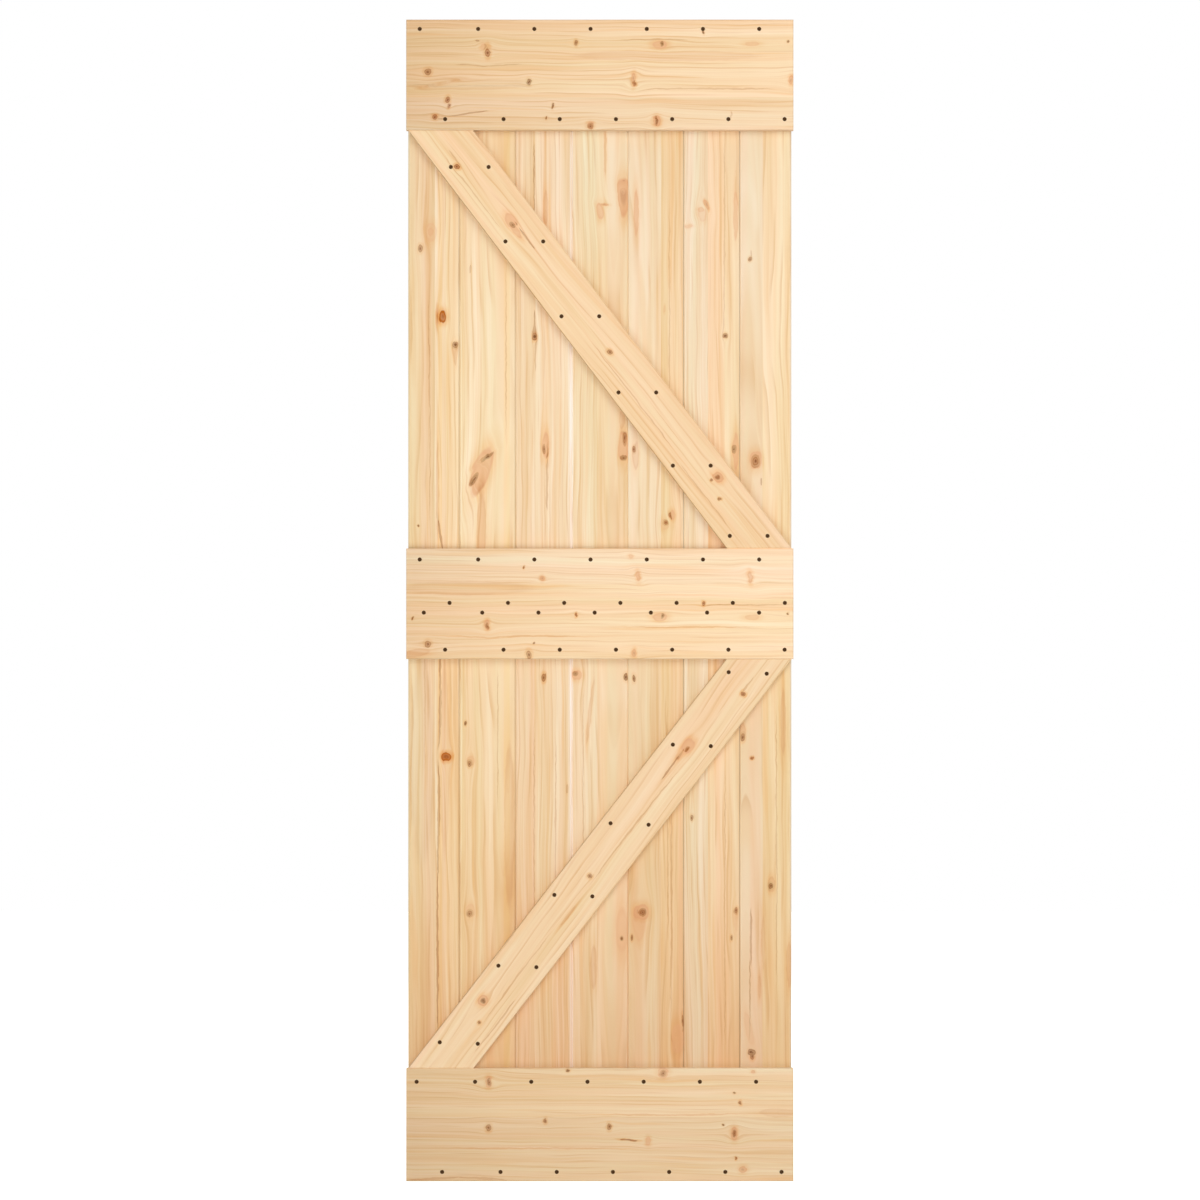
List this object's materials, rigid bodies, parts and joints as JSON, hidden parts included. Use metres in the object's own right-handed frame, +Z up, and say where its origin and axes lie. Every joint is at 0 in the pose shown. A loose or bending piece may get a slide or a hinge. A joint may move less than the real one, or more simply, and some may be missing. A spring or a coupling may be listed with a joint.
{
  "type": "barn door",
  "caption": "Sliding barn door leaf of tongue-and-groove pine planks, held by level rails and slanting braces.",
  "frame": {"origin": "middle of the door's foot, halfway through its thickness", "axes": "+Z up, +Y from the braced front to the plain back, +X to the right seen from the front"},
  "size_m": [0.7, 0.036, 2.1],
  "materials": {
    "top_rail": "raw knotty pine, planed",
    "middle_rail": "raw knotty pine, planed",
    "bottom_rail": "raw knotty pine, planed",
    "upper_brace": "raw knotty pine, planed",
    "lower_brace": "raw knotty pine, planed",
    "plank_1": "raw knotty pine, planed",
    "plank_2": "raw knotty pine, planed",
    "plank_3": "raw knotty pine, planed",
    "plank_4": "raw knotty pine, planed",
    "plank_5": "raw knotty pine, planed",
    "plank_6": "raw knotty pine, planed",
    "plank_7": "raw knotty pine, planed",
    "screws": "dark phosphate"
  },
  "bodies": {
    "root": {"top_rail": "top_rail", "middle_rail": "middle_rail", "bottom_rail": "bottom_rail", "upper_brace": "upper_brace", "lower_brace": "lower_brace", "upper_plank_1": "plank_1", "upper_plank_2": "plank_2", "upper_plank_3": "plank_3", "upper_plank_4": "plank_4", "upper_plank_5": "plank_5", "upper_plank_6": "plank_6", "upper_plank_7": "plank_7", "lower_plank_1": "plank_1", "lower_plank_2": "plank_2", "lower_plank_3": "plank_3", "lower_plank_4": "plank_4", "lower_plank_5": "plank_5", "lower_plank_6": "plank_6", "lower_plank_7": "plank_7", "top_rail_screws": "screws", "middle_rail_screws": "screws", "bottom_rail_screws": "screws", "upper_brace_screws": "screws", "lower_brace_screws": "screws"}
  },
  "joints": []
}
